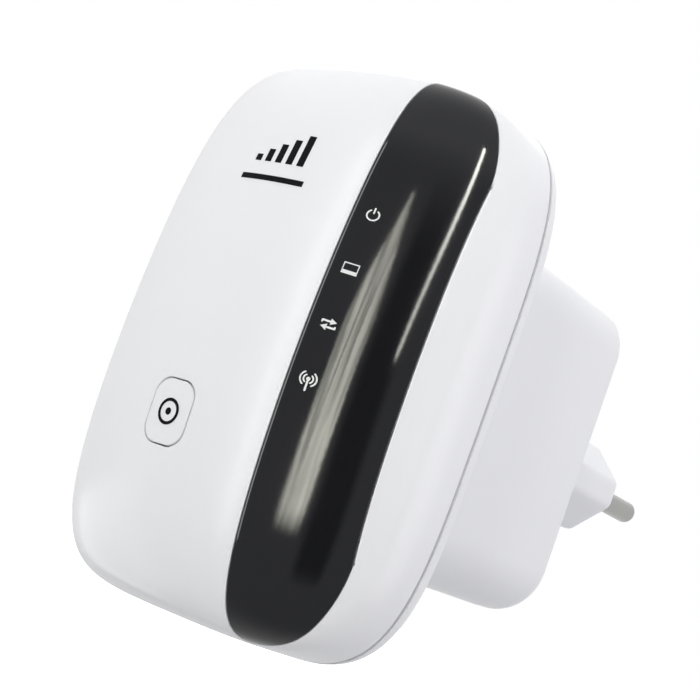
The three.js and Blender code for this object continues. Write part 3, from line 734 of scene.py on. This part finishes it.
# %% Vent slots
VENT_COUNT, VENT_W, VENT_L, VENT_PITCH = 5, 1.6, 16.0, 4.4
cutters = bmesh.new()
for i in range(VENT_COUNT):
    y = (RIM_D + BLOCK_REAR) / 2 + (i - (VENT_COUNT - 1) / 2) * VENT_PITCH
    for side in (-1, 1):
        inside, outside = BLOCK[1] / 2 - 2 * WALL, BLOCK[1] / 2 + 3
        z0, z1 = sorted((BLOCK_Z + side * inside, BLOCK_Z + side * outside))
        edge = []
        for k in range(24):
            a = 2 * pi * k / 24
            flat_x = (VENT_L - VENT_W) / 2 * (1 if cos(a) > 0 else -1)
            edge.append((flat_x + VENT_W / 2 * cos(a), y + VENT_W / 2 * sin(a)))
        low = [cutters.verts.new(place(x, v, z0)) for x, v in edge]
        high = [cutters.verts.new(place(x, v, z1)) for x, v in edge]
        cutters.faces.new(low)
        cutters.faces.new(high)
        for a in range(24):
            b = (a + 1) % 24
            cutters.faces.new((low[a], low[b], high[b], high[a]))
bmesh.ops.recalc_face_normals(cutters, faces=cutters.faces)
cutter_mesh = bpy.data.meshes.new("vent_cutters")
cutters.to_mesh(cutter_mesh)
cutters.free()
cutter = bpy.data.objects.new("vent_cutters", cutter_mesh)
bpy.context.scene.collection.objects.link(cutter)
slots = rear_shell.modifiers.new("vents", "BOOLEAN")
slots.object, slots.operation, slots.solver = cutter, "DIFFERENCE", "EXACT"
ready = bpy.context.evaluated_depsgraph_get()
carved = bpy.data.meshes.new_from_object(rear_shell.evaluated_get(ready))
rear_shell.modifiers.clear()
rear_shell.data = carved
bpy.data.objects.remove(cutter)
sharpen(rear_shell, 40)
print("rear shell after the vents:", len(carved.polygons), "faces")

# %% [markdown]
# The plug boss is a long octagon that fills the recess of a wall socket. Its edges are
# slightly rolled, and its end face is one flat face with two round holes for the pins.

# %% Plug boss
BOSS_L = 14.7
BOSS_Z = 0.26
BOSS_HALF = (17.2, 7.9)
BOSS_CUT = (6.4, 5.7)
BOSS_SPREAD = 1.0375
PIN_X = 9.3
PIN_R = 2.0
FACE_Y = BLOCK_REAR + BOSS_L


def octagon(inset, scale, corner=1.3, count=168):
    """The boss outline with rolled corners, stepped evenly."""
    w, h = BOSS_HALF
    cx, cz = BOSS_CUT
    points = [(w - cx, h), (w, h - cz), (w, cz - h), (w - cx, -h),
              (cx - w, -h), (-w, cz - h), (-w, h - cz), (cx - w, h)]
    lines = []
    for a, b in zip(points, points[1:] + points[:1]):
        d = Vector((b[0] - a[0], b[1] - a[1])).normalized()
        n = Vector((-d.y, d.x))
        if n.dot(Vector(a)) > 0:
            n = -n
        lines.append((Vector(a) + n * (inset + corner), d, n))
    corners = []
    for (p, d, _), (q, e, _) in zip(lines[-1:] + lines[:-1], lines):
        t = ((q - p).x * e.y - (q - p).y * e.x) / (d.x * e.y - d.y * e.x)
        corners.append(p + d * t)
    path = []
    for i, c in enumerate(corners):
        before, after = lines[i - 1][2], lines[i][2]
        a0, a1 = atan2(-before.y, -before.x), atan2(-after.y, -after.x)
        while a1 - a0 > pi:
            a1 -= 2 * pi
        while a1 - a0 < -pi:
            a1 += 2 * pi
        for k in range(7):
            turn = a0 + (a1 - a0) * k / 6
            path.append(c + corner * Vector((cos(turn), sin(turn))))
    path.append(path[0])
    walked = np.cumsum([0.0] + [(b - a).length for a, b in zip(path, path[1:])])
    stops = np.linspace(0, walked[-1], count, endpoint=False)
    xs = np.interp(stops, walked, [p.x for p in path])
    zs = np.interp(stops, walked, [p.y for p in path])
    return [(x * scale, z * scale) for x, z in zip(xs, zs)]


def boss_scale(y):
    return BOSS_SPREAD + (1 - BOSS_SPREAD) * (y - BLOCK_REAR) / BOSS_L


boss = bmesh.new()
ROOT_D, END_R = 0.7, 0.7
stations = [(-0.6, BLOCK_REAR - 1.6), (-0.5, BLOCK_REAR - 0.5), (-0.25, BLOCK_REAR), (0, BLOCK_REAR + ROOT_D)]
stations += [(0, BLOCK_REAR + ROOT_D + (BOSS_L - END_R - ROOT_D) * k / 8) for k in range(1, 9)]
for k in range(1, 7):
    turn = pi / 2 * k / 6
    stations.append((END_R * (1 - cos(turn)), FACE_Y - END_R * (1 - sin(turn))))
boss_rings = [[(x, y, z + BOSS_Z) for x, z in octagon(inset, boss_scale(min(y, FACE_Y)))]
              for inset, y in stations]
rows = stack_rings(boss, boss_rings)
hole_loops = []
HOLE_R, HOLE_D, HOLE_STEPS = PIN_R + 0.1, 3, 48
for side in (-1, 1):
    loop = []
    for k in range(HOLE_STEPS):
        turn = 2 * pi * k / HOLE_STEPS
        spot = place(side * PIN_X + HOLE_R * cos(turn), FACE_Y, BOSS_Z + HOLE_R * sin(turn))
        loop.append(boss.verts.new(spot))
    hole_loops.append(loop)
edges = []
for loop in [rows[-1]] + hole_loops:
    for a, b in zip(loop, loop[1:] + loop[:1]):
        edges.append(boss.edges.get((a, b)) or boss.edges.new((a, b)))
bmesh.ops.triangle_fill(boss, edges=edges, use_beauty=True)
for loop in hole_loops:
    inner = [boss.verts.new(v.co + Vector((0, -HOLE_D * MM, 0))) for v in loop]
    for i in range(HOLE_STEPS):
        j = (i + 1) % HOLE_STEPS
        boss.faces.new((loop[i], loop[j], inner[j], inner[i]))
plug_boss = finish_piece(boss, "plug_boss_skin", case_plastic)
sharpen(plug_boss, 50)

# %% [markdown]
# A pin is turned brass with a nickel plate. Its root is covered by a dark sleeve, so that no
# live metal shows while the plug is half out. Both are turned shapes: a profile spun round.

# %% Pins and sleeves
def turned(name, profile, middle, material, replaces, segments=64):
    """A profile of (radius, depth) pairs, spun round the pin's axis."""
    bm = bmesh.new()
    rings = []
    for radius, y in profile:
        turns = [2 * pi * k / segments for k in range(segments)]
        rings.append([(middle[0] + radius * cos(a), y, middle[1] + radius * sin(a)) for a in turns])
    closed = profile[0] == profile[-1]
    start, end = ((middle[0], spot[1], middle[1]) for spot in (profile[0], profile[-1]))
    stack_rings(bm, rings, **({} if closed else {"start": start, "end": end}))
    bmesh.ops.remove_doubles(bm, verts=bm.verts, dist=1e-7)
    piece = finish_piece(bm, name, material, replaces=replaces)
    sharpen(piece, 35)
    return piece


pin_metal = finish("pin_metal", (0.42, 0.42, 0.405), 0.2, metallic=1.0, drift=0.1, grain=(300, 2500),
                   bump=0.15, gloss_drift=0.3, stretch=(1, 0.15, 1))
sleeve_black = finish("sleeve_black", (0.018, 0.018, 0.02), 0.45, drift=0.15, bump=0.1)
PIN_L, SLEEVE_L, SLEEVE_R, TIP_R = 18.0, 8.0, 1.9, 1.55
TAIL_R, TAIL_L = 1.3, 13.5
NECK_R, NECK_IN = 1.4, 1.9
BORE_R = 1.45
tip = FACE_Y + PIN_L
sleeve_end = FACE_Y + SLEEVE_L
pin_start = BLOCK_REAR - WALL - 1
tip_turns = [pi / 2 * k / 8 for k in range(9)]
tip_profile = [(PIN_R - TIP_R * (1 - cos(a)), tip - TIP_R * (1 - sin(a))) for a in tip_turns]
pin_profile = [(TAIL_R, BLOCK_REAR - TAIL_L), (TAIL_R, pin_start), (PIN_R, pin_start),
               (PIN_R, FACE_Y - NECK_IN), (NECK_R, FACE_Y - NECK_IN), (NECK_R, sleeve_end + 0.05),
               (PIN_R - 0.1, sleeve_end + 0.05), (PIN_R, sleeve_end + 0.15)] + tip_profile
sleeve_start = FACE_Y - NECK_IN + 0.1
sleeve_profile = [(BORE_R, sleeve_start), (SLEEVE_R, sleeve_start), (SLEEVE_R, sleeve_end - 0.1),
                  (SLEEVE_R - 0.1, sleeve_end), (BORE_R, sleeve_end), (BORE_R, sleeve_start)]
for side, x in (("left", -PIN_X), ("right", PIN_X)):
    turned(f"pin_{side}_turned", pin_profile, (x, BOSS_Z), pin_metal, [f"pin_{side}"])
    turned(f"pin_sleeve_{side}_turned", sleeve_profile, (x, BOSS_Z), sleeve_black, [f"pin_sleeve_{side}"])

# %% [markdown]
# The printed marks are thin ink. Each is drawn as flat strokes and laid on the dome a few
# hundredths of a millimetre proud. A stroke is a ribbon with round ends along a path.

# %% Printed marks
INK = 0.03


def ribbon(path, width, closed=False, caps=True):
    """Flat polygons (lists of points) for a stroke of constant width along a path."""
    quads = []
    pts = [Vector(p) for p in path]
    n = len(pts)
    sides = []
    for i, p in enumerate(pts):
        a = pts[(i - 1) % n] if closed or i > 0 else p
        b = pts[(i + 1) % n] if closed or i < n - 1 else p
        d = (b - a).normalized()
        sides.append((p + Vector((-d.y, d.x)) * width / 2, p - Vector((-d.y, d.x)) * width / 2))
    for i in range(n if closed else n - 1):
        j = (i + 1) % n
        quads.append([sides[i][0], sides[j][0], sides[j][1], sides[i][1]])
    if caps and not closed:
        for p, (l, r) in ((pts[0], sides[0]), (pts[-1], sides[-1])):
            a0 = atan2((l - p).y, (l - p).x)
            sign = 1 if p is pts[0] else -1
            quads.append([p + Vector((cos(a0 + sign * pi * k / 8), sin(a0 + sign * pi * k / 8))) * width / 2
                          for k in range(9)])
    return quads


def arc(cx, cz, radius, start, end, steps=24):
    return [(cx + radius * cos(radians(start + (end - start) * k / steps)),
             cz + radius * sin(radians(start + (end - start) * k / steps))) for k in range(steps + 1)]


def bar(x0, z0, x1, z1, steps=6):
    """A filled rectangle, cut into strips so that it can follow the dome."""
    return [[(x0 + (x1 - x0) * k / steps, z0), (x0 + (x1 - x0) * (k + 1) / steps, z0),
             (x0 + (x1 - x0) * (k + 1) / steps, z1), (x0 + (x1 - x0) * k / steps, z1)] for k in range(steps)]


def print_mark(name, polygons, middle, scale, material, body="housing"):
    bm = bmesh.new()
    for polygon in polygons:
        verts = []
        for p in polygon:
            x, z = middle[0] + p[0] * scale, middle[1] + p[1] * scale
            n = skin_normal(x, front_y(x, z), z)
            y = front_y(x, z)
            verts.append(bm.verts.new(place(x + n.x * INK, y + n.y * INK, z + n.z * INK)))
        bm.faces.new(verts)
    bmesh.ops.remove_doubles(bm, verts=bm.verts, dist=1e-6)
    return finish_piece(bm, name, material, body=body)


mark_ink = finish("mark_ink", (0.006, 0.006, 0.007), 0.6, specular=0.08, drift=0.1, grain=(400, 3000),
                  bump=0.05)
icon_ink = finish("icon_ink", (0.74, 0.75, 0.76), 0.4, drift=0.08, grain=(400, 3000), bump=0.05)

# Five rising bars over a short rule: a plain sign for signal strength
signal = []
for i in range(5):
    signal += bar(-4.6 + 2.0 * i, 0, -3.4 + 2.0 * i, 1.1 + 1.0 * i, steps=2)
signal += bar(-5.9, -3.1, 5.9, -2.2, steps=10)
print_mark("signal_mark", signal, (0, 23.2), 1.0, mark_ink)

# A plain ring round a dot, as a target to press on
RING_R, RING_WIDTH, DOT_R = 1.75, 0.5, 0.55
button_ring = ribbon(arc(0, 0, RING_R, 0, 345, 23), RING_WIDTH, closed=True)
print_mark("pairing_mark", button_ring + [arc(0, 0, DOT_R, 0, 345, 23)], BUTTON, 1.0, mark_ink,
           body="pairing_key")

LIGHT_X, LIGHT_Z, LIGHT_PITCH = 17.15, 18.76, 8.49
LINE = 0.26
power_sign = ribbon(arc(0, 0, 0.95, 125, 415), LINE) + ribbon([(0, 0.35), (0, 1.25)], LINE)
screen_sign = ribbon([(-1.2, -0.9), (1.2, -0.9), (1.2, 0.95), (-1.2, 0.95)], LINE, closed=True)
screen_sign += bar(-1.1, -0.85, 1.1, -0.35)
traffic_sign = []
for way in (1, -1):
    arrow = ribbon([(-1.15, 0.55), (0.3, 0.55)], 0.36, caps=False)
    arrow += [[(0.2, 1.15), (1.25, 0.55), (0.2, -0.05)]]
    arrow += ribbon([(-1.15, 0.55), (-1.15, 0.25)], 0.3)
    traffic_sign += [[(p[0] * way, p[1] * way) for p in polygon] for polygon in arrow]
mast_sign = ribbon([(0, -1.5), (0, 0.25)], 0.3) + ribbon(arc(0, 0.35, 0.16, 0, 360), 0.3, closed=True)
for reach_r in (0.7, 1.2):
    mast_sign += ribbon(arc(0, 0.35, reach_r, -55, 55), 0.24) + ribbon(arc(0, 0.35, reach_r, 125, 235), 0.24)
signs = (("power_sign", power_sign, 0.84), ("screen_sign", screen_sign, 0.82),
         ("traffic_sign", traffic_sign, 0.8), ("mast_sign", mast_sign, 0.9))
for i, (name, sign, scale) in enumerate(signs):
    print_mark(name, sign, (LIGHT_X, LIGHT_Z - i * LIGHT_PITCH), scale, icon_ink)

# %% [markdown]
# What is inside shows only through the vents and the socket, but it gets real finishes too:
# boards, chips, tin, ferrite, tape and film each get one, and the solid model keeps its shape.

# %% Finishes of the inner parts
inner_finishes = {
    "clear_plastic": finish("clear_guide", (0.85, 0.87, 0.87), 0.15, drift=0.02, bump=0.02),
    "board_green": finish("board_green", (0.02, 0.13, 0.06), 0.4, drift=0.25, grain=(250, 1500), bump=0.2,
                          coat=0.4),
    "chip_black": finish("chip_black", (0.02, 0.02, 0.022), 0.55, drift=0.2, grain=(200, 2500), bump=0.25),
    "tin": finish("tin_plate", (0.62, 0.63, 0.64), 0.32, metallic=1.0, drift=0.08, grain=(150, 1200),
                  bump=0.1, stretch=(1, 1, 0.1)),
    "gold": finish("contact_gold", (0.8, 0.56, 0.2), 0.25, metallic=1.0, drift=0.08, grain=(300, 2000),
                   bump=0.05),
    "ferrite": finish("ferrite", (0.035, 0.035, 0.04), 0.7, drift=0.25, grain=(300, 3000), bump=0.4),
    "coil_tape": finish("coil_tape", (0.78, 0.5, 0.04), 0.4, drift=0.1, grain=(200, 1500), bump=0.1,
                        stretch=(1, 1, 6)),
    "capacitor_film": finish("capacitor_film", (0.02, 0.035, 0.09), 0.3, drift=0.15, bump=0.05, coat=0.3),
    "led_lens": finish("led_lens", (0.85, 0.87, 0.72), 0.25, drift=0.05, bump=0.05, subsurface=0.2),
    "sleeve_black": sleeve_black,
    "case_white": case_plastic,
}
slot_of = {row["node"]: row["material_slot"] for row in frame["record"]["subparts"]}
for name, node in frame["nodes"].items():
    if node.hide_render or slot_of[name] not in inner_finishes:
        continue
    node.data.materials.clear()
    node.data.materials.append(inner_finishes[slot_of[name]])
    edge = node.modifiers.new("soft_edges", "BEVEL")
    edge.width, edge.segments, edge.limit_method, edge.angle_limit = 0.08 * MM, 2, "ANGLE", radians(50)
print("inner finishes:", len(inner_finishes))

# %% [markdown]
# The object stands in a white studio. Behind it everything is white, and the side where the
# camera stands is dim, as in a real studio. White plastic takes its shape from large soft
# lights. Black gloss shows only what it mirrors, so it needs narrow lights of its own.

# %% Node helpers for the studio
def graph(tree):
    """Short ways to add and join maths nodes in one node tree."""
    def add(kind, **settings):
        node = tree.nodes.new(kind)
        for key, value in settings.items():
            setattr(node, key, value)
        return node

    def feed(socket, value):
        if isinstance(value, bpy.types.NodeSocket):
            tree.links.new(value, socket)
        else:
            socket.default_value = value

    def maths(operation, *values):
        node = add("ShaderNodeMath", operation=operation)
        for socket, value in zip(node.inputs, values):
            feed(socket, value)
        return node.outputs[0]

    def ramp(value, start, stop, low=0.0, high=1.0):
        node = add("ShaderNodeMapRange", interpolation_type="SMOOTHSTEP")
        parts = {"Value": value, "From Min": start, "From Max": stop, "To Min": low, "To Max": high}
        for name, part in parts.items():
            feed(node.inputs[name], part)
        return node.outputs["Result"]

    return add, feed, maths, ramp


# %% Floor
floor_paint = bpy.data.materials.new("floor_paint")
floor_paint.use_nodes = True
add, feed, maths, ramp = graph(floor_paint.node_tree)
shader = floor_paint.node_tree.nodes["Principled BSDF"]
shader.inputs["Base Color"].default_value = (0.45, 0.45, 0.46, 1)
shader.inputs["Roughness"].default_value = 0.5
shader.inputs["Emission Color"].default_value = (1, 1, 1, 1)
spot = add("ShaderNodeSeparateXYZ")
feed(spot.inputs[0], add("ShaderNodeTexCoord").outputs["Object"])
behind = maths("SUBTRACT", maths("MULTIPLY", spot.outputs[1], 0.7), maths("MULTIPLY", spot.outputs[0], 0.7))
away = maths("SQRT", maths("ADD", maths("MULTIPLY", spot.outputs[0], spot.outputs[0]),
                           maths("MULTIPLY", spot.outputs[1], spot.outputs[1])))
glow = maths("MAXIMUM", ramp(behind, 0.14, 0.26, 0.0, 0.9), ramp(away, 0.25, 1.1, 0.0, 0.95))
feed(shader.inputs["Emission Strength"], glow)
floor_mesh = bpy.data.meshes.new("studio_floor")
half, level = 8.0, cad_low.z - 0.06
corners = [(-half, -half, level), (half, -half, level), (half, half, level), (-half, half, level)]
floor_mesh.from_pydata(corners, [], [(0, 1, 2, 3)])
floor = bpy.data.objects.new("studio_floor", floor_mesh)
floor_mesh.materials.append(floor_paint)
bpy.context.scene.collection.objects.link(floor)
floor.visible_glossy = False
floor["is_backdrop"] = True

# %% World
world = bpy.data.worlds.new("studio")
bpy.context.scene.world = world
world.use_nodes = True
bpy.context.scene.view_settings.view_transform = "Standard"
add, feed, maths, ramp = graph(world.node_tree)
split = add("ShaderNodeSeparateXYZ")
feed(split.inputs[0], add("ShaderNodeTexCoord").outputs["Generated"])
x, y, z = split.outputs
azimuth = maths("MULTIPLY", maths("ARCTAN2", x, maths("MULTIPLY", y, -1.0)), 180 / pi)
height = maths("MULTIPLY", maths("ARCSINE", z), 180 / pi)
frontness = maths("ADD", maths("MULTIPLY", x, 0.7), maths("MULTIPLY", y, -0.7))
wall_light = ramp(frontness, -0.2, 0.6, 0.85, 0.4)
ceiling = ramp(height, 28.0, 40.0, 0.0, 0.32)
dark_side = maths("MULTIPLY", ramp(maths("ABSOLUTE", maths("SUBTRACT", azimuth, 35.0)), 4.0, 8.0, 0.9, 0.0),
                  maths("MULTIPLY", ramp(height, 18.0, 32.0, 1.0, 0.0), ramp(height, -25.0, -17.0)))
studio_light = maths("MULTIPLY", maths("ADD", wall_light, ceiling), maths("SUBTRACT", 1.0, dark_side))
seen = add("ShaderNodeLightPath").outputs["Is Camera Ray"]
strength = maths("ADD", maths("MULTIPLY", studio_light, maths("SUBTRACT", 1.0, seen)), seen)
feed(world.node_tree.nodes["Background"].inputs["Strength"], strength)
world.node_tree.nodes["Background"].inputs["Color"].default_value = (1, 1, 1, 1)

# %% Lights
target = place(20, -18, 0)


def soft_light(name, azimuth, height, size, away, brightness, colour=(1, 1, 1), tilt=0.0,
               fade=(1.0, 1.0), streaks=False, point=None):
    """A rectangular light at a direction from the window, with its brightness as seen.

    It narrows from the share point of its length up to a pointed upper end.
    """
    a, e = radians(azimuth), radians(height)
    data = bpy.data.lights.new(name, "AREA")
    data.shape, data.size, data.size_y = "RECTANGLE", size[0], size[1]
    data.energy, data.color = 4 * size[0] * size[1] * brightness, colour
    lamp = bpy.data.objects.new(name, data)
    offset = Vector((sin(a) * cos(e), -cos(a) * cos(e), sin(e))) * away
    facing = offset.to_track_quat("Z", "Y").to_matrix().to_4x4()
    lamp.matrix_world = (Matrix.Translation(target + offset) @ facing
                         @ Matrix.Rotation(radians(tilt), 4, "Z"))
    bpy.context.scene.collection.objects.link(lamp)
    data.use_nodes = True
    add, feed, maths, ramp = graph(data.node_tree)
    parts = add("ShaderNodeSeparateXYZ")
    feed(parts.inputs[0], add("ShaderNodeNewGeometry").outputs["Parametric"])
    level = ramp(parts.outputs[1], 0.0, 1.0, *fade)
    if streaks:
        grain = add("ShaderNodeCombineXYZ")
        feed(grain.inputs[0], maths("MULTIPLY", parts.outputs[0], 8.0))
        feed(grain.inputs[1], maths("MULTIPLY", parts.outputs[1], 2.2))
        noise = add("ShaderNodeTexNoise")
        noise.inputs["Scale"].default_value = 1.0
        noise.inputs["Detail"].default_value = 4.0
        noise.inputs["Distortion"].default_value = 0.6
        feed(noise.inputs["Vector"], grain.outputs[0])
        level = maths("MULTIPLY", level, ramp(noise.outputs["Fac"], 0.36, 0.64, 0.45, 1.35))
    if point:
        half_width = ramp(parts.outputs[1], point, 1.0, 0.5, 0.06)
        off_middle = maths("ABSOLUTE", maths("SUBTRACT", parts.outputs[0], 0.5))
        soft_side = ramp(off_middle, maths("MULTIPLY", half_width, 0.75), half_width, 1.0, 0.0)
        level = maths("MULTIPLY", level, soft_side)
        level = maths("MULTIPLY", level, ramp(parts.outputs[1], 0.0, 0.15))
    feed(data.node_tree.nodes["Emission"].inputs["Strength"], level)
    return lamp


soft_light("window_light", 22.2, 6.2, (0.12, 0.46), 0.6, 5.8, (1.0, 1.0, 0.88), tilt=-1.5,
           fade=(1.25, 0.85), streaks=True, point=0.6)
soft_light("edge_light", 43.2, 27, (0.014, 0.39), 0.6, 18, (1.0, 1.0, 0.93), tilt=-8, fade=(0.5, 1.3))
soft_light("left_glow", -1, 8, (0.06, 0.6), 0.6, 3.8)
soft_light("right_glow", 72, 5, (0.1, 0.6), 0.6, 0.3)
soft_light("key_light", -70, -32, (0.7, 0.6), 0.75, 0.85)
soft_light("right_fill", 114, 0, (0.6, 0.7), 0.75, 0.95, (1.0, 0.975, 1.02))
soft_light("back_fill", -140, 30, (0.6, 0.5), 0.9, 0.5)

# %% Camera
LENS_MM, SENSOR_MM = 78.00583, 36.0
AZIMUTH, ELEVATION, ROLL = radians(44.917), radians(-8.74), radians(20.447)
DISTANCE = 238.3188
SHIFT = (2.55354, 2.82316)
back = Vector((sin(AZIMUTH) * cos(ELEVATION), -cos(AZIMUTH) * cos(ELEVATION), sin(ELEVATION)))
right = (-back).cross(Vector((0, 0, 1))).normalized()
up = right.cross(-back)
tilted_right = cos(ROLL) * right + sin(ROLL) * up
tilted_up = -sin(ROLL) * right + cos(ROLL) * up
eye = back * DISTANCE + tilted_right * SHIFT[0] + tilted_up * SHIFT[1]
camera_data = bpy.data.cameras.new("studio_camera")
camera_data.sensor_width = SENSOR_MM
camera_data.lens = LENS_MM
camera_data.clip_start, camera_data.clip_end = 0.005, 50
camera = bpy.data.objects.new("studio_camera", camera_data)
turn = Matrix((tilted_right, tilted_up, back)).transposed()
camera.matrix_world = Matrix.Translation(place(*eye)) @ turn.to_4x4()
bpy.context.scene.collection.objects.link(camera)
bpy.context.scene.camera = camera
print("camera lens", round(camera_data.lens, 2), "mm at", [round(v, 3) for v in camera.location])

# %% Size of the visual model beside the solid model
low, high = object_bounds()
print("visual model stays inside by", [round(1000 * (a - b), 3) for a, b in zip(cad_high, high)],
      [round(1000 * (a - b), 3) for a, b in zip(low, cad_low)], "mm")
